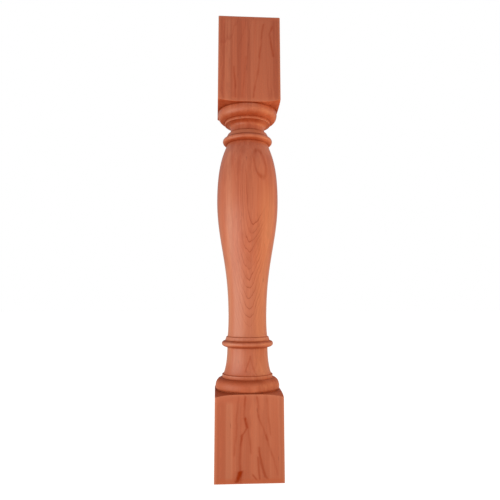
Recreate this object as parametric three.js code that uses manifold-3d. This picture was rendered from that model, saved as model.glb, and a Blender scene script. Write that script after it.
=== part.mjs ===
// A turned post for a kitchen island or a worktop: one square billet of cherry, turned to a vase shape
// between a square foot block and a square head block.
// Millimetres, +Z up. The origin is the middle of the underside, and the front face looks along -Y.

import * as THREE from 'three';
import { mergeVertices } from 'three/addons/utils/BufferGeometryUtils.js';
import Module from 'manifold-3d';

// The square billet
const HEIGHT = 895;
const WIDTH = 126;
const ARRIS_RADIUS = 1.5;

// Heights above the floor, as a turner marks them on the billet
const FOOT_SHOULDER = 151.6;
const BASE_TORUS_FOOT = 152.6;
const BASE_TORUS_WIDEST = 157.6;
const BASE_TORUS_TOP = 173.6;
const BASE_FILLET_TOP = 180;
const RING_FOOT = 230.6;
const RING_WIDEST = 237.1;
const RING_TOP = 242.8;
const RING_FILLET_TOP = 250.2;
const WAIST = 285;
const BELLY = 523;
const ASTRAGAL_FOOT = 639.6;
const ASTRAGAL_WIDEST = 646.6;
const ASTRAGAL_TOP = 652.5;
const NECK_FILLET_TOP = 662.4;
const NECK = 673;
const CAP_FILLET_FOOT = 682.8;
const CAP_FILLET_TOP = 688.6;
const CAP_TORUS_WIDEST = 705;
const CAP_TORUS_TOP = 710.7;
const HEAD_SHOULDER = 711.7;

// Radii at those heights
const FOOT_QUIRK_RADIUS = 59;
const BASE_TORUS_RADIUS = 61.8;
const BASE_TORUS_TOP_RADIUS = 50.2;
const BASE_FILLET_RADIUS = 49;
const FLARE_FOOT_RADIUS = 46.8;
const FLARE_TOP_RADIUS = 39.4;
const RING_FOOT_RADIUS = 40.4;
const RING_RADIUS = 50.3;
const RING_TOP_RADIUS = 43.7;
const RING_FILLET_RADIUS = 41.6;
const WAIST_FOOT_RADIUS = 39.8;
const WAIST_RADIUS = 37.5;
const BELLY_RADIUS = 62.1;
const VASE_TOP_RADIUS = 42.7;
const ASTRAGAL_FOOT_RADIUS = 43.8;
const ASTRAGAL_RADIUS = 51.4;
const ASTRAGAL_TOP_RADIUS = 45.6;
const NECK_FILLET_RADIUS = 40.7;
const NECK_FOOT_RADIUS = 39;
const NECK_RADIUS = 35;
const NECK_TOP_RADIUS = 45;
const CAP_FILLET_RADIUS = 47.4;
const CAP_TORUS_FOOT_RADIUS = 49.4;
const CAP_TORUS_RADIUS = 61.8;
const HEAD_QUIRK_RADIUS = 60.3;

// How far the shoulders of the square blocks are rounded over, along the post
const SHOULDER_ROUNDING = 9;

// Pull of the long curves' handles: along the flare, and as a share of each part of the vase
const FLARE_FOOT_PULL = { inward: 3, upward: 5.7 };
const FLARE_TOP_PULL = 29;
const WAIST_PULL = 0.47;
const BELLY_LOWER_PULL = 0.35;
const BELLY_UPPER_PULL = 0.67;
const VASE_TOP_PULL = { outward: 5.2, downward: 17.8 };

// Facets
const SIDES = 36;
const ROUND_STEPS = 4;
const SHOULDER_STEPS = 6;
const SWEEP_STEPS = 9;
const ARRIS_STEPS = 1;

// The turning outline, from the axis below the foot to the axis above the head
const BLANK_RADIUS = WIDTH * 0.72;
const END_WASTE = 2;
const QUARTER_PULL = 0.5523;
const outline = [new THREE.Vector2(0, -END_WASTE)];

function cutTo(radius, height) {
  outline.push(new THREE.Vector2(radius, height));
}

function sweepTo(radius, height, leave, arrive, steps) {
  const end = new THREE.Vector2(radius, height);
  const curve = new THREE.CubicBezierCurve(outline.at(-1), leave, arrive, end);
  outline.push(...curve.getPoints(steps).slice(1));
}

// A quarter ellipse that leaves upright and arrives level, as the upper half of a bead does
function roundOver(radius, height, steps = ROUND_STEPS) {
  const start = outline.at(-1);
  const leave = new THREE.Vector2(start.x, THREE.MathUtils.lerp(start.y, height, QUARTER_PULL));
  const arrive = new THREE.Vector2(THREE.MathUtils.lerp(radius, start.x, 1 - QUARTER_PULL), height);
  sweepTo(radius, height, leave, arrive, steps);
}

// A quarter ellipse that leaves level and arrives upright, as the lower half of a bead does
function roundUp(radius, height, steps = ROUND_STEPS) {
  const start = outline.at(-1);
  const leave = new THREE.Vector2(THREE.MathUtils.lerp(start.x, radius, QUARTER_PULL), start.y);
  const arrive = new THREE.Vector2(radius, THREE.MathUtils.lerp(height, start.y, 1 - QUARTER_PULL));
  sweepTo(radius, height, leave, arrive, steps);
}

// Foot block, left square up to its shoulder
cutTo(BLANK_RADIUS, -END_WASTE);
cutTo(BLANK_RADIUS, FOOT_SHOULDER - SHOULDER_ROUNDING);
roundOver(FOOT_QUIRK_RADIUS, FOOT_SHOULDER, SHOULDER_STEPS);

// Base torus with its fillet
cutTo(FOOT_QUIRK_RADIUS, BASE_TORUS_FOOT);
roundUp(BASE_TORUS_RADIUS, BASE_TORUS_WIDEST);
roundOver(BASE_TORUS_TOP_RADIUS, BASE_TORUS_TOP);
cutTo(BASE_FILLET_RADIUS, BASE_TORUS_TOP);
cutTo(BASE_FILLET_RADIUS, BASE_FILLET_TOP);

// Flared foot of the stem
cutTo(FLARE_FOOT_RADIUS, BASE_FILLET_TOP);
sweepTo(
  FLARE_TOP_RADIUS,
  RING_FOOT,
  new THREE.Vector2(FLARE_FOOT_RADIUS - FLARE_FOOT_PULL.inward, BASE_FILLET_TOP + FLARE_FOOT_PULL.upward),
  new THREE.Vector2(FLARE_TOP_RADIUS, RING_FOOT - FLARE_TOP_PULL),
  SWEEP_STEPS,
);

// Ring with its sloping fillet
cutTo(RING_FOOT_RADIUS, RING_FOOT);
roundUp(RING_RADIUS, RING_WIDEST);
roundOver(RING_TOP_RADIUS, RING_TOP);
cutTo(RING_FILLET_RADIUS, RING_FILLET_TOP);

// Vase, from its waist through its belly to the top
cutTo(WAIST_FOOT_RADIUS, RING_FILLET_TOP);
roundUp(WAIST_RADIUS, WAIST);
sweepTo(
  BELLY_RADIUS,
  BELLY,
  new THREE.Vector2(WAIST_RADIUS, THREE.MathUtils.lerp(WAIST, BELLY, WAIST_PULL)),
  new THREE.Vector2(BELLY_RADIUS, THREE.MathUtils.lerp(BELLY, WAIST, BELLY_LOWER_PULL)),
  SWEEP_STEPS,
);
sweepTo(
  VASE_TOP_RADIUS,
  ASTRAGAL_FOOT,
  new THREE.Vector2(BELLY_RADIUS, THREE.MathUtils.lerp(BELLY, ASTRAGAL_FOOT, BELLY_UPPER_PULL)),
  new THREE.Vector2(VASE_TOP_RADIUS + VASE_TOP_PULL.outward, ASTRAGAL_FOOT - VASE_TOP_PULL.downward),
  SWEEP_STEPS,
);

// Astragal with its sloping fillet
cutTo(ASTRAGAL_FOOT_RADIUS, ASTRAGAL_FOOT);
roundUp(ASTRAGAL_RADIUS, ASTRAGAL_WIDEST);
roundOver(ASTRAGAL_TOP_RADIUS, ASTRAGAL_TOP);
cutTo(NECK_FILLET_RADIUS, NECK_FILLET_TOP);

// Hollow neck
cutTo(NECK_FOOT_RADIUS, NECK_FILLET_TOP);
roundUp(NECK_RADIUS, NECK);
roundOver(NECK_TOP_RADIUS, CAP_FILLET_FOOT);

// Cap torus on its fillet
cutTo(CAP_FILLET_RADIUS, CAP_FILLET_FOOT);
cutTo(CAP_FILLET_RADIUS, CAP_FILLET_TOP);
cutTo(CAP_TORUS_FOOT_RADIUS, CAP_FILLET_TOP);
roundUp(CAP_TORUS_RADIUS, CAP_TORUS_WIDEST);
roundOver(HEAD_QUIRK_RADIUS, CAP_TORUS_TOP);

// Head block, square again above its shoulder
cutTo(HEAD_QUIRK_RADIUS, HEAD_SHOULDER);
roundUp(BLANK_RADIUS, HEAD_SHOULDER + SHOULDER_ROUNDING, SHOULDER_STEPS);
cutTo(BLANK_RADIUS, HEIGHT + END_WASTE);
cutTo(0, HEIGHT + END_WASTE);

// The billet's section: a square with eased corners
function billetSection() {
  const section = new THREE.Shape();
  const centre = new THREE.Vector2();
  const inset = WIDTH / 2 - ARRIS_RADIUS;
  for (let corner = 0; corner < 4; corner += 1) {
    const turn = corner * Math.PI / 2;
    const middle = new THREE.Vector2(inset, inset).rotateAround(centre, turn);
    section.absarc(middle.x, middle.y, ARRIS_RADIUS, turn, turn + Math.PI / 2);
  }
  return section;
}

const wasm = await Module();
wasm.setup();

function toSolid(geometry) {
  geometry.deleteAttribute('normal');
  geometry.deleteAttribute('uv');
  const merged = mergeVertices(geometry);
  const triVerts = [];
  for (let start = 0; start < merged.index.count; start += 3) {
    const face = [0, 1, 2].map((offset) => merged.index.getX(start + offset));
    if (new Set(face).size === 3) {
      triVerts.push(...face);
    }
  }
  return new wasm.Manifold(new wasm.Mesh({
    numProp: 3,
    vertProperties: merged.attributes.position.array,
    triVerts: new Uint32Array(triVerts),
  }));
}

function toGeometry(solid) {
  const { vertProperties, triVerts } = solid.getMesh();
  const geometry = new THREE.BufferGeometry();
  geometry.setAttribute('position', new THREE.BufferAttribute(vertProperties, 3));
  geometry.setIndex(new THREE.BufferAttribute(triVerts, 1));
  geometry.computeVertexNormals();
  return geometry;
}

const turning = new THREE.LatheGeometry(outline, SIDES).rotateX(Math.PI / 2);
const billet = new THREE.ExtrudeGeometry(billetSection(), {
  depth: HEIGHT,
  bevelEnabled: false,
  curveSegments: ARRIS_STEPS,
});

const cherry = new THREE.MeshStandardMaterial({ color: 0xb8694a, roughness: 0.55, metalness: 0 });
const post = new THREE.Mesh(toGeometry(toSolid(billet).intersect(toSolid(turning))), cherry);
post.name = 'turned_post';

const group = new THREE.Group();
group.add(post);

export default group;
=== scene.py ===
import math

import bpy
import numpy as np
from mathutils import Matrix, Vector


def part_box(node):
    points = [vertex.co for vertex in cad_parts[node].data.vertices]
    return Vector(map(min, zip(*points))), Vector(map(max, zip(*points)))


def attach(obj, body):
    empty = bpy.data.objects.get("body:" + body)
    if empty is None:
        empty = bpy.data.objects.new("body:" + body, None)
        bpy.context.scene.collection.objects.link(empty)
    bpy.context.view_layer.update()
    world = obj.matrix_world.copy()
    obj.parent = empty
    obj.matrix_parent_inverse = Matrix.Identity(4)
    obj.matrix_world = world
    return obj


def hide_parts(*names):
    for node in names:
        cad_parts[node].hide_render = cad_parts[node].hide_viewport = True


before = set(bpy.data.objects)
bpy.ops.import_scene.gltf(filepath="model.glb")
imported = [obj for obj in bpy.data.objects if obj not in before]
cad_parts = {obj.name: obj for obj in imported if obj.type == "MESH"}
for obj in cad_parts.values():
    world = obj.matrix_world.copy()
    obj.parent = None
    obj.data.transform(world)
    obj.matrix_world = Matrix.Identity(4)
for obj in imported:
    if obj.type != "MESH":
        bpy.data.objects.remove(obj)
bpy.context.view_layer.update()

# The post is one square billet of cherry, dressed and sanded, with its long edges eased by hand.
# It is turned between centres to a vase shape, and left square at the foot and at the head.
# Nothing is fixed to it: it stands on the sawn end of its foot block.

HALF_WIDTH, _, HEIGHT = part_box("turned_post")[1]
ARRIS_RADIUS = 0.0015
END_EASING = 0.0012
MOULDING_EASING = 0.0009

# Heights above the floor, as a turner marks them on the billet
FOOT_SHOULDER = 0.1516
BASE_TORUS_FOOT = 0.1526
BASE_TORUS_WIDEST = 0.1576
BASE_TORUS_TOP = 0.1736
BASE_FILLET_TOP = 0.180
RING_FOOT = 0.2306
RING_WIDEST = 0.2371
RING_TOP = 0.2428
RING_FILLET_TOP = 0.2502
WAIST = 0.285
BELLY = 0.523
ASTRAGAL_FOOT = 0.6396
ASTRAGAL_WIDEST = 0.6466
ASTRAGAL_TOP = 0.6525
NECK_FILLET_TOP = 0.6624
NECK = 0.673
CAP_FILLET_FOOT = 0.6828
CAP_FILLET_TOP = 0.6886
CAP_TORUS_WIDEST = 0.705
CAP_TORUS_TOP = 0.7107
HEAD_SHOULDER = 0.7117

# Radii at those heights
FOOT_QUIRK_RADIUS = 0.059
BASE_TORUS_RADIUS = 0.0618
BASE_TORUS_TOP_RADIUS = 0.0502
BASE_FILLET_RADIUS = 0.049
FLARE_FOOT_RADIUS = 0.0468
FLARE_TOP_RADIUS = 0.0394
RING_FOOT_RADIUS = 0.0404
RING_RADIUS = 0.0503
RING_TOP_RADIUS = 0.0437
RING_FILLET_RADIUS = 0.0416
WAIST_FOOT_RADIUS = 0.0398
WAIST_RADIUS = 0.0375
BELLY_RADIUS = 0.0621
VASE_TOP_RADIUS = 0.0427
ASTRAGAL_FOOT_RADIUS = 0.0438
ASTRAGAL_RADIUS = 0.0514
ASTRAGAL_TOP_RADIUS = 0.0456
NECK_FILLET_RADIUS = 0.0407
NECK_FOOT_RADIUS = 0.039
NECK_RADIUS = 0.035
NECK_TOP_RADIUS = 0.045
CAP_FILLET_RADIUS = 0.0474
CAP_TORUS_FOOT_RADIUS = 0.0494
CAP_TORUS_RADIUS = 0.0618
HEAD_QUIRK_RADIUS = 0.0603

# The round that the turning starts from, just clear of the billet's corners, and how far the shoulders of
# the square blocks are rounded over along the post
BLANK_RADIUS = HALF_WIDTH * 1.44
SHOULDER_ROUNDING = 0.009

# Pull of the long curves' handles: a pair is a length across the post and one along it, a single length is
# along it, and the others are shares of their part of the vase
FLARE_FOOT_PULL = (0.003, 0.0057)
FLARE_TOP_PULL = 0.029
WAIST_PULL = 0.47
BELLY_LOWER_PULL = 0.35
BELLY_UPPER_PULL = 0.67
VASE_TOP_PULL = (0.0052, 0.0178)

# The handles themselves, each a radius and a height
FLARE_FOOT_HANDLE = (FLARE_FOOT_RADIUS - FLARE_FOOT_PULL[0], BASE_FILLET_TOP + FLARE_FOOT_PULL[1])
FLARE_TOP_HANDLE = (FLARE_TOP_RADIUS, RING_FOOT - FLARE_TOP_PULL)
WAIST_HANDLE = (WAIST_RADIUS, WAIST + WAIST_PULL * (BELLY - WAIST))
BELLY_LOWER_HANDLE = (BELLY_RADIUS, BELLY - BELLY_LOWER_PULL * (BELLY - WAIST))
BELLY_UPPER_HANDLE = (BELLY_RADIUS, BELLY + BELLY_UPPER_PULL * (ASTRAGAL_FOOT - BELLY))
VASE_TOP_HANDLE = (VASE_TOP_RADIUS + VASE_TOP_PULL[0], ASTRAGAL_FOOT - VASE_TOP_PULL[1])

# Columns round the post and rows along each run of its outline
FACE_COLUMNS = 40
ARRIS_COLUMNS = 4
END_ROWS = 5
BLOCK_ROWS = 14
SHOULDER_ROWS = 18
ROUND_ROWS = 10
FILLET_ROWS = 3
SWEEP_ROWS = 44
EASED_ROWS = 5


def billet_section():
    """Complex x + iy of the billet's section, one round seen from above, starting on the front face.

    A face column at angle a from the middle of its face lies at half the width over the cosine of a.
    Between two faces, the arris columns lie on a quarter circle. The other three sides are quarter turns.
    """
    inset = HALF_WIDTH - ARRIS_RADIUS
    face_end = math.atan2(inset, HALF_WIDTH)
    face = HALF_WIDTH * (np.tan(np.linspace(-face_end, face_end, FACE_COLUMNS)) - 1j)
    swing = np.linspace(-math.pi / 2, 0, ARRIS_COLUMNS + 2)[1:-1]
    arris = inset * (1 - 1j) + ARRIS_RADIUS * np.exp(1j * swing)
    side = np.concatenate([face, arris])
    quarter_turns = np.exp(0.5j * math.pi * np.arange(4))
    return np.outer(quarter_turns, side).ravel()


section = billet_section()
billet_radius = np.abs(section)
columns = len(section)


def mark(radius, height):
    """One (radius, height) pair for every column, from a number or a value a column."""
    return np.stack(np.broadcast_arrays(radius, height, billet_radius)[:2], axis=-1).astype(float)


def straight(start, end, rows):
    """A straight run: the marks start and end mixed in even shares."""
    share = np.linspace(0, 1, rows + 1)[:, None, None]
    return start + (end - start) * share


def shoulder(quirk_radius, height, rounding):
    """A square block's shoulder, from the block's own side in to the quirk.

    The turning cuts a quarter ellipse from the blank's radius to the quirk's. Each column starts where
    that ellipse meets the side of the billet, so the edge between them runs along a row of the grid.
    """
    reach = BLANK_RADIUS - quirk_radius
    first = np.arccos((billet_radius - quirk_radius) / reach)
    angle = first + (math.pi / 2 - first) * np.linspace(0, 1, SHOULDER_ROWS + 1)[:, None]
    radius = quirk_radius + reach * np.cos(angle)
    return np.stack([radius, height - rounding * (1 - np.sin(angle))], axis=-1)


# The outline's runs, from the middle of the foot's end to the middle of the head's
runs = [straight(mark(0, 0), mark(billet_radius, 0), END_ROWS)]


def cut_to(radius, height, rows=FILLET_ROWS):
    """Adds a straight run from the last mark."""
    runs.append(straight(runs[-1][-1], mark(radius, height), rows))


def round_over_to(radius, height):
    """Adds a quarter ellipse that leaves upright and arrives level: radius by cosine, height by sine."""
    start_radius, start_height = runs[-1][-1].T
    angle = np.linspace(0, math.pi / 2, ROUND_ROWS + 1)[:, None]
    radii = radius + (start_radius - radius) * np.cos(angle)
    heights = start_height + (height - start_height) * np.sin(angle)
    runs.append(np.stack([radii, heights], axis=-1))


def round_up_to(radius, height):
    """Adds a quarter ellipse that leaves level and arrives upright: radius by sine, height by cosine."""
    start_radius, start_height = runs[-1][-1].T
    angle = np.linspace(0, math.pi / 2, ROUND_ROWS + 1)[:, None]
    radii = start_radius + (radius - start_radius) * np.sin(angle)
    heights = height + (start_height - height) * np.cos(angle)
    runs.append(np.stack([radii, heights], axis=-1))


def sweep_to(radius, height, leave, arrive):
    """Adds a cubic curve from the last mark, drawn towards the handles leave and arrive."""
    start = runs[-1][-1]
    end = mark(radius, height)
    share = np.linspace(0, 1, SWEEP_ROWS + 1)[:, None, None]
    rest = 1 - share
    pulled = 3 * rest**2 * share * mark(*leave) + 3 * rest * share**2 * mark(*arrive)
    runs.append(rest**3 * start + pulled + share**3 * end)


# Foot block, base torus with its fillet, and the flared foot of the stem
foot_shoulder = shoulder(FOOT_QUIRK_RADIUS, FOOT_SHOULDER, SHOULDER_ROUNDING)
cut_to(*foot_shoulder[0].T, BLOCK_ROWS)
runs.append(foot_shoulder)
cut_to(FOOT_QUIRK_RADIUS, BASE_TORUS_FOOT)
round_up_to(BASE_TORUS_RADIUS, BASE_TORUS_WIDEST)
round_over_to(BASE_TORUS_TOP_RADIUS, BASE_TORUS_TOP)
cut_to(BASE_FILLET_RADIUS, BASE_TORUS_TOP)
cut_to(BASE_FILLET_RADIUS, BASE_FILLET_TOP)
cut_to(FLARE_FOOT_RADIUS, BASE_FILLET_TOP)
sweep_to(FLARE_TOP_RADIUS, RING_FOOT, FLARE_FOOT_HANDLE, FLARE_TOP_HANDLE)

# Ring with its sloping fillet, and the vase from its waist through its belly
cut_to(RING_FOOT_RADIUS, RING_FOOT)
round_up_to(RING_RADIUS, RING_WIDEST)
round_over_to(RING_TOP_RADIUS, RING_TOP)
cut_to(RING_FILLET_RADIUS, RING_FILLET_TOP)
cut_to(WAIST_FOOT_RADIUS, RING_FILLET_TOP)
round_up_to(WAIST_RADIUS, WAIST)
sweep_to(BELLY_RADIUS, BELLY, WAIST_HANDLE, BELLY_LOWER_HANDLE)
sweep_to(VASE_TOP_RADIUS, ASTRAGAL_FOOT, BELLY_UPPER_HANDLE, VASE_TOP_HANDLE)

# Astragal with its sloping fillet, and the hollow neck
cut_to(ASTRAGAL_FOOT_RADIUS, ASTRAGAL_FOOT)
round_up_to(ASTRAGAL_RADIUS, ASTRAGAL_WIDEST)
round_over_to(ASTRAGAL_TOP_RADIUS, ASTRAGAL_TOP)
cut_to(NECK_FILLET_RADIUS, NECK_FILLET_TOP)
cut_to(NECK_FOOT_RADIUS, NECK_FILLET_TOP)
round_up_to(NECK_RADIUS, NECK)
round_over_to(NECK_TOP_RADIUS, CAP_FILLET_FOOT)

# Cap torus on its fillet, and the head block
cut_to(CAP_FILLET_RADIUS, CAP_FILLET_FOOT)
cut_to(CAP_FILLET_RADIUS, CAP_FILLET_TOP)
cut_to(CAP_TORUS_FOOT_RADIUS, CAP_FILLET_TOP)
round_up_to(CAP_TORUS_RADIUS, CAP_TORUS_WIDEST)
round_over_to(HEAD_QUIRK_RADIUS, CAP_TORUS_TOP)
cut_to(HEAD_QUIRK_RADIUS, HEAD_SHOULDER)
runs.append(shoulder(HEAD_QUIRK_RADIUS, HEAD_SHOULDER, -SHOULDER_ROUNDING)[::-1])
cut_to(billet_radius, HEIGHT, BLOCK_ROWS)
cut_to(0, HEIGHT, END_ROWS)

# An eased corner takes up this share of the row next to it at most
EASING_LIMIT = 0.9


def join_runs():
    """One array of rows from all the runs, with each corner between two runs eased.

    A corner becomes a parabola that leaves the first run and joins the second a short way from it, and
    no further than the next row. The second result gives, for every corner, its middle row and the sine
    of the turn there, which is positive on a raised edge and negative in a hollow.
    """
    share = np.linspace(0, 1, EASED_ROWS)[:, None, None]
    rows = [runs[0][1:-1]]
    corners = []
    for before, after in zip(runs, runs[1:]):
        corner = after[0]
        back = before[-2] - corner
        ahead = after[1] - corner
        easing = np.where(np.isclose(corner[:, 1:] % HEIGHT, 0), END_EASING, MOULDING_EASING)
        back_length = np.linalg.norm(back, axis=1, keepdims=True)
        ahead_length = np.linalg.norm(ahead, axis=1, keepdims=True)
        leave = corner + back * np.minimum(easing / back_length, EASING_LIMIT)
        join = corner + ahead * np.minimum(easing / ahead_length, EASING_LIMIT)
        turn = (back[:, 1] * ahead[:, 0] - back[:, 0] * ahead[:, 1]) / (back_length * ahead_length)[:, 0]
        corners.append((sum(map(len, rows)) + EASED_ROWS // 2, turn.mean()))
        rows.append((1 - share) ** 2 * leave + 2 * (1 - share) * share * corner + share**2 * join)
        rows.append(after[1:-1])
    return np.concatenate(rows), corners


# How far the painted shade of a hollow and the painted highlight of an edge reach along the wood beside it,
# and how recesses are told from beads
HOLLOW_SPREAD = 0.002
EDGE_SPREAD = 0.0013
RECESS_REACH = 0.022
RECESS_DEPTH = 0.010
EVEN_HEIGHTS = 600


def relief_along(outline, corners):
    """How raised or sunken each point is: a bell of its distance along the outline from every corner."""
    steps = np.linalg.norm(np.diff(outline, axis=0), axis=-1)
    travel = np.concatenate([np.zeros((1, columns)), np.cumsum(steps, axis=0)])
    relief = np.zeros_like(travel)
    for row, turn in corners:
        spread = EDGE_SPREAD if turn > 0 else HOLLOW_SPREAD
        relief += turn * np.exp(-(((travel - travel[row]) / spread) ** 2))
    return np.clip(relief, -1, 1)


def recess_along(outline):
    """How far each row lies below its neighbours, from 1 in a deep recess to -1 on a proud bead.

    Its radius on the turned parts is set against the mean radius within reach along the post.
    """
    heights = outline[:, 0, 1]
    radii = np.minimum(outline[:, 0, 0], HALF_WIDTH)
    even = np.linspace(0, HEIGHT, EVEN_HEIGHTS)
    near = np.exp(-(((heights[:, None] - even) / RECESS_REACH) ** 2))
    mean = near @ np.interp(even, heights, radii) / near.sum(axis=1)
    return np.repeat(np.clip((mean - radii) / RECESS_DEPTH, -1, 1)[:, None], columns, axis=1)


def post_mesh(outline, shades):
    """The outline's rows turned about the axis by each column's direction, closed by a fan at each end."""
    direction = section / billet_radius
    spots = outline[..., 0] * direction
    grid = np.stack([spots.real, spots.imag, outline[..., 1]], axis=-1).reshape(-1, 3)
    points = np.concatenate([grid, [(0, 0, 0), (0, 0, HEIGHT)]])
    rows = len(outline)
    index = np.arange(rows * columns).reshape(rows, columns)
    beside = np.roll(index, -1, axis=1)
    quads = np.stack([index[:-1], beside[:-1], beside[1:], index[1:]], axis=-1).reshape(-1, 4)
    foot_middle, head_middle = rows * columns, rows * columns + 1
    foot_fan = np.stack([np.full(columns, foot_middle), beside[0], index[0]], axis=-1)
    head_fan = np.stack([np.full(columns, head_middle), index[-1], beside[-1]], axis=-1)
    mesh = bpy.data.meshes.new("cherry_post")
    mesh.from_pydata(points, [], quads.tolist() + foot_fan.tolist() + head_fan.tolist())
    for name, shade in shades.items():
        values = np.concatenate([shade.ravel(), [0, 0]]).astype(np.float32)
        mesh.attributes.new(name, "FLOAT", "POINT").data.foreach_set("value", values)
    mesh.shade_smooth()
    return mesh


outline, corners = join_runs()
shades = {"relief": relief_along(outline, corners), "recess": recess_along(outline)}
post = bpy.data.objects.new("cherry_post", post_mesh(outline, shades))
bpy.context.scene.collection.objects.link(post)


class Socket:
    """One output of a node. Arithmetic on it adds Math nodes."""

    def __init__(self, tree, output):
        self.tree = tree
        self.output = output

    @classmethod
    def source(cls, tree, kind, output):
        """The named output of a new node that needs no inputs."""
        return cls(tree, None).node(kind, {}, {}, output)

    def node(self, kind, settings, sockets, result=0):
        """Adds a node: its settings first, then its sockets by name or number, as values or links.

        What comes back is the output that result names.
        """
        made = self.tree.nodes.new(kind)
        for name, value in settings.items():
            setattr(made, name, value)
        for name, value in sockets.items():
            if isinstance(value, Socket):
                self.tree.links.new(value.output, made.inputs[name])
            else:
                made.inputs[name].default_value = value
        return Socket(self.tree, made.outputs[result])

    def math(self, operation, *others):
        return self.node("ShaderNodeMath", {"operation": operation}, dict(enumerate([self, *others])))

    def __add__(self, other):
        return self.math("ADD", other)

    __radd__ = __add__

    def __mul__(self, other):
        return self.math("MULTIPLY", other)

    __rmul__ = __mul__

    def __sub__(self, other):
        return self.math("SUBTRACT", other)

    def __rsub__(self, other):
        return self.node("ShaderNodeMath", {"operation": "SUBTRACT"}, {0: other, 1: self})

    def __truediv__(self, other):
        return self.math("DIVIDE", other)

    def __abs__(self):
        return self.math("ABSOLUTE")

    def fade(self, start, end):
        """0 before start and 1 after end, smoothly between. Start may be the higher of the two."""
        sockets = {"Value": self, "From Min": start, "From Max": end}
        return self.node("ShaderNodeMapRange", {"interpolation_type": "SMOOTHSTEP"}, sockets)

    def within(self, start, full, last, end):
        """1 from full to last, and fading to 0 at start before them and at end after them."""
        return self.fade(start, full) * self.fade(end, last)

    def tint(self, base, colour):
        """The colour base turned towards colour by this share, with a Mix node's two colour sockets."""
        sockets = {"Factor": self, 6: base, 7: colour}
        return self.node("ShaderNodeMix", {"data_type": "RGBA"}, sockets, result=2)

    def axes(self):
        """This vector's x, y and z."""
        parts = self.node("ShaderNodeSeparateXYZ", {}, {0: self}).output.node
        return [Socket(self.tree, output) for output in parts.outputs]

    def noise(self, across, along, detail=2.0):
        """Smooth noise about 0.5 at this place, with so many waves a metre across and along the grain."""
        scale = (across, across, along)
        stretched = self.node("ShaderNodeVectorMath", {"operation": "MULTIPLY"}, {0: self, 1: scale})
        sockets = {"Vector": stretched, "Scale": 1.0, "Detail": detail}
        return self.node("ShaderNodeTexNoise", {"noise_dimensions": "3D"}, sockets)

    def waver(self, size, across, along, detail=2.0):
        """A length that noise swings to either side of 0, half of size each way at the most."""
        return (self.noise(across, along, detail) - 0.5) * size


# Growth rings: the pith leans across the post and sways behind it
PITH_X, PITH_Y, PITH_LEAN = 0.008, 0.28, -0.078
SWAY, SWAY_START, SWAY_LENGTH = 0.0044, 0.25, 0.9
GROWTH_RING = 0.002


def growth_rings(place):
    """How many growth rings lie between the pith and each point: their distance over a ring's width.

    The pith is a line that leans along x and swings by a cosine of its height along y.
    Noise bends the rings.
    """
    x, y, z = place.axes()
    swing = ((z - SWAY_START) * (2 * math.pi / SWAY_LENGTH)).math("COSINE")
    across = x - (PITH_X + z * PITH_LEAN)
    behind = y - PITH_Y + swing * SWAY
    bow = place.waver(0.004, across=11, along=2.6)
    ripple = place.waver(0.0018, across=55, along=12, detail=4.0)
    return ((across * across + behind * behind).math("SQRT") + (bow + ripple)) / GROWTH_RING


# Tongues: where the turning cuts the rings open down the front of the vase
TONGUE_X, TONGUE_TOP = 0.001, 0.463
TONGUE_LEAN, LEAN_START = 0.2, 0.43
TONGUE_STEP, TONGUE_SPREAD, TONGUE_POWER = 0.0175, 0.0115, 1.6
TONGUE_SIDES = (0.012, 0.034)
LINE_SHARE = 0.96


def tongues(place, ragged):
    """How many tongues lie above each point, counted so that a dark line falls on the first one's tip.

    A tongue hangs to a blunt tip, and rises beside it by a power of the distance from the middle.
    The tongues are one step apart, lean to the right above the lean's start, and are as ragged as the
    length given.
    """
    x, _, z = place.axes()
    aside = abs(x - TONGUE_X - (z - LEAN_START).math("MAXIMUM", 0) * TONGUE_LEAN)
    rise = (aside / TONGUE_SPREAD).math("POWER", TONGUE_POWER) * TONGUE_STEP
    return LINE_SHARE + (rise - (z - TONGUE_TOP) + ragged) / TONGUE_STEP


def late_growth(field, shown):
    """The broad band of late wood in every whole step of field, and the thin dark line at its end.

    Both darken along the step and stop at its end. Each step has a random strength of its own.
    """
    share = field.math("FRACT")
    number = field.math("FLOOR")
    strength = number.node("ShaderNodeTexWhiteNoise", {"noise_dimensions": "1D"}, {"W": number})
    seen = (0.3 + 0.7 * strength) * shown
    band = share.within(0.35, 0.9, 0.96, 1.0) * seen
    line = share.within(0.8, 0.95, 0.97, 1.0) * seen
    return band, line


# Grain lines on the front: how dark each is, how wide, and the points (x, z) that it runs through
FOOT_LINES = (
    (0.70, 0.0034, ((-0.009, 0.147), (-0.0085, 0.116), (-0.004, 0.0955))),
    (1.10, 0.0048, ((-0.007, 0.110), (-0.004, 0.0955))),
    (0.75, 0.0040, ((-0.0045, 0.094), (-0.0135, 0.082), (-0.0175, 0.0605), (-0.017, 0))),
    (1.60, 0.0074, ((-0.0165, 0.0195), (-0.0225, 0.0045))),
    (0.55, 0.0040, ((0.0080, 0.0135), (0.0115, 0.0085))),
    (0.60, 0.0040, ((0.0260, 0.0180), (0.0310, 0.0105))),
    (0.30, 0.0034, ((-0.003, 0.0955), (0.0025, 0.0515))),
    (0.55, 0.0036, ((0.0125, 0.147), (0.017, 0.1105), (0.032, 0.073))),
    (0.35, 0.0036, ((0.032, 0.073), (0.0505, 0.0155))),
    (0.60, 0.0040, ((0.017, 0.0595), (0.021, 0.0345), (0.029, 0.0125))),
    (0.50, 0.0034, ((0.0155, 0.043), (0.0185, 0.0095))),
    (0.30, 0.0034, ((-0.020, 0.147), (-0.027, 0.049))),
    (0.30, 0.0034, ((0.031, 0.147), (0.0375, 0.083))),
)
FLARE_LINES = ((0.40, 0.0030, ((-0.006, 0.190), (0.003, 0.214), (0.011, 0.190))),)
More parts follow.
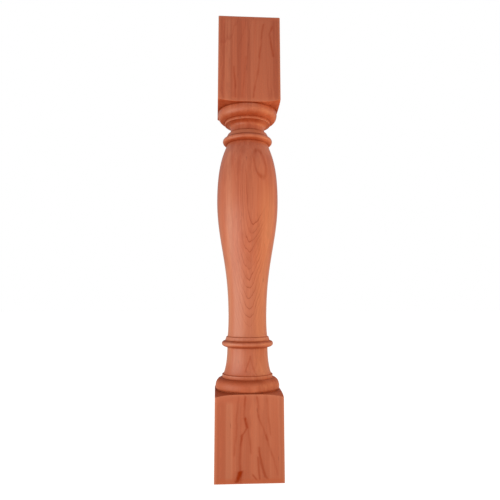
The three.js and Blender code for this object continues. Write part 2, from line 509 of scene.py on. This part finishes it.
HEAD_LINES = (
    (0.42, 0.0036, ((0.0085, 0.721), (0.0195, 0.796), (0.026, 0.853), (0.029, 0.8775))),
    (0.50, 0.0040, ((0.0465, 0.8735), (0.042, 0.8555), (0.049, 0.810))),
    (0.42, 0.0036, ((-0.0275, 0.722), (-0.031, 0.7835))),
    (0.25, 0.0036, ((-0.0145, 0.7225), (-0.006, 0.806))),
)
LINE_TAPER = 0.005


def grain_lines(x, z):
    """The darkest of the grain lines at each point.

    A line is a run of straight stretches that taper at their ends. Across it, a dark core lies in a
    wider, paler edge.
    """
    darkest = 0
    for darkness, width, points in FOOT_LINES + FLARE_LINES + HEAD_LINES:
        for (from_x, from_z), (to_x, to_z) in zip(points, points[1:]):
            lean = (to_x - from_x) / (to_z - from_z)
            half = abs(to_z - from_z) / 2
            aside = abs(x - z * lean - (from_x - from_z * lean))
            along = abs(z - (from_z + to_z) / 2).fade(half + LINE_TAPER, half)
            across = 0.9 * aside.fade(0.9 * width, 0) + 0.2 * aside.fade(2.4 * width, 0)
            darkest = (across * along * darkness).math("MAXIMUM", darkest)
    return darkest


# The eye: one leaning oval in the figure, at the upper right of the belly
EYE_X, EYE_Z, EYE_LEAN = 0.022, 0.5875, -0.147
EYE_WIDTH, EYE_LENGTH = 0.0115, 0.029
EYE_RAGGEDNESS = 14


def distance_from_eye(x, z, ragged):
    """Distance from the middle of the leaning oval in half widths and half lengths, so 1 is its rim."""
    across = (x - EYE_X - (z - EYE_Z) * EYE_LEAN) / EYE_WIDTH
    along = (z - EYE_Z) / EYE_LENGTH
    return (across * across + along * along).math("SQRT") + ragged * EYE_RAGGEDNESS


# Colours of the wood, and of the finish pooled on it, which also serves as painted shade
PALE_WOOD = (0.607, 0.202, 0.112, 1)
MID_WOOD = (0.567, 0.156, 0.077, 1)
RED_WOOD = (0.527, 0.126, 0.058, 1)
ORANGE_WOOD = (0.53, 0.105, 0.034, 1)
LATE_WOOD = (0.33, 0.056, 0.018, 1)
LINE_WOOD = (0.33, 0.034, 0.003, 1)
GUM = (0.17, 0.022, 0.005, 1)
POOLED_FINISH_AND_SHADE = (0.24, 0.028, 0.004, 1)

# Stretches that differ from the rest in figure, colour, coat, painted light and painted shade: the heights
# where each starts, is full, is last full and ends
FIGURED_VASE = (0.262, WAIST, 0.56, 0.59)
# Painted light on the stem, where the light is strongest
PAINTED_LIGHT_ON_STEM = (RING_TOP, RING_FILLET_TOP, 0.31, 0.42)
# Painted shade on the left of the base torus and flare
PAINTED_SHADE_ON_BASE = (0.132, 0.142, 0.19, 0.214)
# Painted light on the right of the neck
PAINTED_LIGHT_ON_NECK = (0.60, 0.62, 0.68, 0.69)
DARK_CAP = (CAP_FILLET_TOP, CAP_TORUS_WIDEST, CAP_TORUS_TOP, HEAD_SHOULDER)
SCUFFED_TORUS = (0.150, 0.154, 0.170, 0.182)

# Changes up the post: the heights where each begins and is complete
RINGED_HEAD = (0.70, 0.74)
DARK_HEAD = (0.70, 0.73)
RED_EDGE_FADING = (0.2, 0.6)
# The painted shade in the hollows grows up the post between these heights
HOLLOW_SHADE_RISE = (0.3, 0.65)

# Sides and edges of the post: where each begins and is full, measured from the post's middle
FRONT = (-0.02, -0.04)
RIGHT_SIDE = (0.012, 0.035)
RIGHT_OF_HEAD = (0, 0.04)
LEFT_OF_BASE = (0.01, -0.015)
MIDDLE_OF_CAP = (0.045, 0.02)
RED_EDGE = (-0.0405, -0.0455)
ARRIS_EDGE = (0.0565, 0.0625)

# The ends of the post: how far from an end the stain and the sawn skin begin and are full
END_STAIN = (0.012, 0.003)
SAWN_SKIN = (0.0015, 0.0005)

# A pale strip near the left edge, and the painted highlight on the fillet below the neck: their middles,
# and how far from there each begins and is full
STRIP_X, STRIP_LEAN = -0.0365, -0.008
STRIP_EDGE = (0.0085, 0.004)
NECK_FILLET_MIDDLE = (ASTRAGAL_TOP + NECK_FILLET_TOP) / 2
NECK_FILLET_EDGE = (0.007, 0.003)

# The surface
GRAIN_STRENGTH, GRAIN_DEPTH = 0.12, 0.0004
COAT_ROUGHNESS = 0.38
BARE_WOOD_GLOSS = 0.05


def cherry_wood():
    """Sanded cherry under a thin clear coat, from the figure in the wood out to the wear on its edges, with
    light and shade painted into its colour.

    The growth rings show on the head and the sawn ends. Down the front of the vase they are cut open
    into tongues, with an eye above them, and dark grain lines run along the blocks and the flare.
    Ribbons, streaks and fibres run the whole length. Painted shade darkens the hollows, more so up the
    post, and the recesses and the sloping end grain of the mouldings, less so on the right; in the end
    grain the finish has pooled as well. Proud beads are painted paler as lit, and the raised edges and the
    fillet below the neck are worn pale and painted as highlights. Painted light lies on the stem and on the
    right of the neck, and painted shade on the left of the base.
    """
    material = bpy.data.materials.new("cherry_wood")
    material.use_nodes = True
    tree = material.node_tree
    place = Socket.source(tree, "ShaderNodeTexCoord", "Object")
    facing = Socket.source(tree, "ShaderNodeNewGeometry", "Normal")
    x, y, z = place.axes()
    front = y.fade(*FRONT)
    right_side = x.fade(*RIGHT_SIDE)
    from_end = HEIGHT / 2 - abs(z - HEIGHT / 2)
    sawn = from_end.fade(*SAWN_SKIN)
    end_grain = abs(facing.axes()[2]).fade(0.2, 0.9)

    # Rings and tongues, in broken lines that are boldest at the first tongues
    ragged = place.waver(0.028, across=22, along=9) + place.waver(0.018, across=90, along=30, detail=3.0)
    broken = 0.45 + 0.55 * place.noise(across=70, along=28).fade(0.38, 0.58)
    tongue = tongues(place, ragged)
    bold = tongue.fade(0.4, 0.7) * (1.5 - 0.6 * tongue.fade(1, 3))
    near_tongue = 1 - 0.85 * abs(x - TONGUE_X).fade(*TONGUE_SIDES)
    tongue_band, tongue_line = late_growth(tongue, z.within(*FIGURED_VASE) * near_tongue * broken * bold)
    ring = growth_rings(place)
    ring_shown = (0.25 * z.fade(*RINGED_HEAD)).math("MAXIMUM", 0.6 * end_grain)
    ring_band, ring_line = late_growth(ring, ring_shown)
    late_band = tongue_band + ring_band
    slow_growth = ((ring * 0.7).math("SINE") + (ring * 1.9).math("SINE")).fade(-0.6, 1.9)

    # Grain lines and the eye, which wander, on the front alone
    wander = place.waver(0.006, across=40, along=35)
    from_eye = distance_from_eye(x + wander, z, ragged)
    eye_rim = abs(from_eye - 1).fade(0.3, 0) * (0.5 + 0.5 * broken)
    worn_line = 0.55 + 0.45 * place.noise(across=90, along=45).fade(0.38, 0.6)
    grain_mark = (eye_rim * 0.5).math("MAXIMUM", grain_lines(x + wander, z)) * front * worn_line

    # Colour that runs along the grain
    wandering_place = place.node("ShaderNodeVectorMath", {"operation": "ADD"}, {0: place, 1: wander})
    broad = place.noise(across=17, along=1.4, detail=1.0).fade(0.36, 0.64)
    streak = place.noise(across=150, along=2.2).fade(0.35, 0.65)
    ribbon = wandering_place.noise(across=105, along=2.2).fade(0.46, 0.58)
    ribbon_shown = 0.21 + 0.15 * z.fade(CAP_TORUS_TOP, HEAD_SHOULDER)
    fibre = place.noise(across=620, along=9, detail=3.0).fade(0.3, 0.7)
    gum_mark = place.noise(across=150, along=26, detail=1.0).fade(0.74, 0.80)
    gum_line = tongue_line * place.noise(across=45, along=14).fade(0.50, 0.66)
    strip = abs(x - (STRIP_X + z * STRIP_LEAN) + place.waver(0.006, across=4, along=3))
    red_edge = x.fade(*RED_EDGE) * (1 - 0.7 * z.fade(*RED_EDGE_FADING))

    # Hollows, recesses, beads and edges, for painted shade, painted highlights, worn edges and the coat
    relief = place.node("ShaderNodeAttribute", {"attribute_name": "relief"}, {}, result="Fac")
    sunken = place.node("ShaderNodeAttribute", {"attribute_name": "recess"}, {}, result="Fac")
    hollow = (0 - relief).fade(0.15, 1.0)
    # Painted shade in the hollows: darker higher up the post and weaker on the lit right side
    hollow_shade = (0.2 + 0.38 * z.fade(*HOLLOW_SHADE_RISE)) * (1 - 0.45 * right_side)
    # Partly the finish pooled in end grain, partly painted shade on faces that slope up or down, weaker on
    # the lit right side
    end_grain_pooling_and_shade = (0.6 - 0.4 * right_side) * (1 - sawn)
    # Recesses are painted with shade, weaker on the lit right side; proud beads are painted paler as lit
    recess = sunken.math("MAXIMUM", 0)
    bead = (0 - sunken).fade(0.3, 0.9)
    arris = abs(x).fade(*ARRIS_EDGE) * abs(y).fade(*ARRIS_EDGE)
    # A painted highlight on the fillet below the neck
    neck_fillet_highlight = abs(z - NECK_FILLET_MIDDLE).fade(*NECK_FILLET_EDGE)
    # Edges partly worn pale, partly painted highlights
    edge_wear_and_highlight = (relief.fade(0.2, 1.0) * 0.6).math("MAXIMUM", arris).math("MAXIMUM", neck_fillet_highlight)

    # Layers of colour over the broad red and mid wood, each with how much of it shows
    layers = (
        (0.35 * streak, PALE_WOOD),
        (0.75 * strip.fade(*STRIP_EDGE), PALE_WOOD),
        (0.8 * red_edge, RED_WOOD),
        (ribbon * ribbon_shown, LATE_WOOD),
        (0.18 * x.fade(*RIGHT_OF_HEAD) * z.fade(*DARK_HEAD), LATE_WOOD),
        (0.18 * z.within(*DARK_CAP) * abs(x).fade(*MIDDLE_OF_CAP), LATE_WOOD),
        (0.8 * (HEIGHT - z).fade(*END_STAIN), RED_WOOD),
        (0.8 * z.fade(*END_STAIN), ORANGE_WOOD),
        # Painted light on the stem
        (0.5 * z.within(*PAINTED_LIGHT_ON_STEM), PALE_WOOD),
        # Painted shade on the left of the base
        (0.9 * z.within(*PAINTED_SHADE_ON_BASE) * x.fade(*LEFT_OF_BASE), RED_WOOD),
        # Painted light on the right of the neck, where the warm lamp reaches in
        (0.8 * z.within(*PAINTED_LIGHT_ON_NECK) * right_side, PALE_WOOD),
        (0.7 * sawn, PALE_WOOD),
        (0.45 * sawn * slow_growth, LATE_WOOD),
        (0.2 * late_band, LATE_WOOD),
        (0.85 * (tongue_line + ring_line), LINE_WOOD),
        (0.6 * gum_line, GUM),
        (0.16 * fibre, LATE_WOOD),
        (0.45 * gum_mark, GUM),
        (0.3 * from_eye.fade(0.95, 0.4) * front, PALE_WOOD),
        (0.95 * grain_mark, LINE_WOOD),
        # Pooled finish and painted shade on the sloping end grain of the mouldings
        (end_grain * end_grain_pooling_and_shade, POOLED_FINISH_AND_SHADE),
        # Painted shade in the recesses, weaker on the lit right side
        (0.09 * recess * (1 - right_side), POOLED_FINISH_AND_SHADE),
        # Painted light on the proud beads
        (0.25 * bead, PALE_WOOD),
        # Painted shade in the hollows
        (hollow * hollow_shade, POOLED_FINISH_AND_SHADE),
        # Wear and painted highlights on the edges and the fillet below the neck
        (0.7 * edge_wear_and_highlight, PALE_WOOD),
    )
    colour = broad.tint(RED_WOOD, MID_WOOD)
    for shown, layer_colour in layers:
        colour = shown.tint(colour, layer_colour)

    # The coat is missing from hollows and end grain, and thin in recesses, on grain lines and where scuffed
    scuffed = z.within(*SCUFFED_TORUS)
    whole_coat = (1 - hollow) * (1 - end_grain)
    coat = whole_coat * (1 - 0.3 * recess) * (1 - 0.6 * scuffed) * (1 - 0.7 * grain_mark)
    roughness = 0.45 + 0.08 * fibre
    raised = 0.6 * fibre + 0.4 * late_band
    sockets = {"Height": raised, "Strength": GRAIN_STRENGTH, "Distance": GRAIN_DEPTH}
    grain = place.node("ShaderNodeBump", {}, sockets)
    shader = tree.nodes["Principled BSDF"]
    tree.links.new(colour.output, shader.inputs["Base Color"])
    tree.links.new(roughness.output, shader.inputs["Roughness"])
    tree.links.new(grain.output, shader.inputs["Normal"])
    tree.links.new(coat.output, shader.inputs["Coat Weight"])
    shader.inputs["Coat Roughness"].default_value = COAT_ROUGHNESS
    shader.inputs["Specular IOR Level"].default_value = BARE_WOOD_GLOSS
    return material


post.data.materials.append(cherry_wood())
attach(post, "root")
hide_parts("turned_post")

# The floor is a plain pale studio floor, wide enough to run out of every view.
# It is matt, and glows a little so that it stays as pale as the backdrop.
FLOOR_REACH = 12.0
FLOOR_COLOUR = (0.3, 0.3, 0.3, 1)
FLOOR_ROUGHNESS = 0.9
FLOOR_GLOW_COLOUR = (1, 1, 1, 1)
FLOOR_GLOW = 0.95


def floor_mesh():
    """A square about the post, in the plane that it stands on."""
    edge = FLOOR_REACH * np.array([-1, 1])
    corner_x, corner_y = np.meshgrid(edge, edge)
    points = np.stack([corner_x.ravel(), corner_y.ravel(), np.zeros(4)], axis=-1)
    mesh = bpy.data.meshes.new("studio_floor")
    mesh.from_pydata(points, [], [(0, 1, 3, 2)])
    return mesh


floor_paint = bpy.data.materials.new("studio_floor")
floor_paint.use_nodes = True
floor_shader = floor_paint.node_tree.nodes["Principled BSDF"]
floor_shader.inputs["Base Color"].default_value = FLOOR_COLOUR
floor_shader.inputs["Roughness"].default_value = FLOOR_ROUGHNESS
floor_shader.inputs["Specular IOR Level"].default_value = 0.0
floor_shader.inputs["Emission Color"].default_value = FLOOR_GLOW_COLOUR
floor_shader.inputs["Emission Strength"].default_value = FLOOR_GLOW
floor = bpy.data.objects.new("studio_floor", floor_mesh())
floor.data.materials.append(floor_paint)
floor.visible_diffuse = False
floor.visible_glossy = False
bpy.context.scene.collection.objects.link(floor)

# The light is a pale room, with a broad soft lamp close by on either side and a weak one in front.
# The left lamp is nearly white and the right one warm. The ground glows warm, and brighter than the
# ceiling, so that the undersides of the mouldings are lit.
BACKDROP = (1, 1, 1, 1)
CEILING_LIGHT = (0.46, 0.50, 0.54, 1)
WALL_LIGHT = (0.36, 0.33, 0.34, 1)
SKIRTING_LIGHT = (0.66, 0.59, 0.45, 1)
GROUND_LIGHT = (0.93, 0.68, 0.49, 1)
LAMP_SIZE = (0.9, 0.5)
LAMP_DISTANCE = 0.75

# How steeply up or down the light of the ceiling, the skirting and the ground begins and is full
CEILING_RISE = (0.3, 0.8)
SKIRTING_FALL = (0.3, -0.1)
GROUND_FALL = (-0.1, -0.6)


def soft_lamp(name, turn, height, power, colour):
    """An upright lamp that faces the post's axis, turned round it from the front by so many degrees."""
    lamp = bpy.data.lights.new(name, "AREA")
    lamp.shape = "RECTANGLE"
    lamp.size, lamp.size_y = LAMP_SIZE
    lamp.energy = power
    lamp.color = colour
    holder = bpy.data.objects.new(name, lamp)
    angle = math.radians(turn)
    holder.location = (LAMP_DISTANCE * math.sin(angle), -LAMP_DISTANCE * math.cos(angle), height)
    holder.rotation_euler = (math.pi / 2, 0, angle)
    holder.visible_camera = False
    bpy.context.scene.collection.objects.link(holder)


room = bpy.data.worlds.new("white_room")
room.use_nodes = True
room_tree = room.node_tree
upward = Socket.source(room_tree, "ShaderNodeTexCoord", "Generated").axes()[2]
seen_by_camera = Socket.source(room_tree, "ShaderNodeLightPath", "Is Camera Ray")
room_light = upward.fade(*CEILING_RISE).tint(WALL_LIGHT, CEILING_LIGHT)
room_light = upward.fade(*SKIRTING_FALL).tint(room_light, SKIRTING_LIGHT)
room_light = upward.fade(*GROUND_FALL).tint(room_light, GROUND_LIGHT)
room_light = seen_by_camera.tint(room_light, BACKDROP)
room_tree.links.new(room_light.output, room_tree.nodes["Background"].inputs["Color"])
bpy.context.scene.world = room
soft_lamp("left_lamp", turn=-60, height=0.30, power=3.5, colour=(0.92, 1.0, 0.92))
soft_lamp("right_lamp", turn=76, height=0.46, power=2.9, colour=(1.0, 0.68, 0.28))
soft_lamp("front_lamp", turn=0, height=0.36, power=0.8, colour=(1.0, 0.88, 0.74))
bpy.context.scene.view_settings.view_transform = "Standard"

# The camera stands about a metre in front, a little to the left, at about a third of the post's height.
# It looks up slightly, and its lens is shifted as the photograph's framing needs.
CAMERA_DISTANCE = 1.0097
CAMERA_HEIGHT = 0.3218
CAMERA_TURN = math.radians(3.58)
CAMERA_PITCH = math.radians(9.267)
SENSOR_MM = 36.0
LENS_MM = 36.0
IMAGE_SIZE = 500
LENS_AXIS = (247.4, 217.8)

camera = bpy.data.cameras.new("camera")
camera.sensor_width = SENSOR_MM
camera.lens = LENS_MM
camera.shift_x = (IMAGE_SIZE / 2 - LENS_AXIS[0]) / IMAGE_SIZE
camera.shift_y = (LENS_AXIS[1] - IMAGE_SIZE / 2) / IMAGE_SIZE
stand = bpy.data.objects.new("camera", camera)
stand.location = (
    -CAMERA_DISTANCE * math.sin(CAMERA_TURN),
    -CAMERA_DISTANCE * math.cos(CAMERA_TURN),
    CAMERA_HEIGHT,
)
stand.rotation_euler = (math.pi / 2 + CAMERA_PITCH, 0, -CAMERA_TURN)
bpy.context.scene.collection.objects.link(stand)
bpy.context.scene.camera = stand
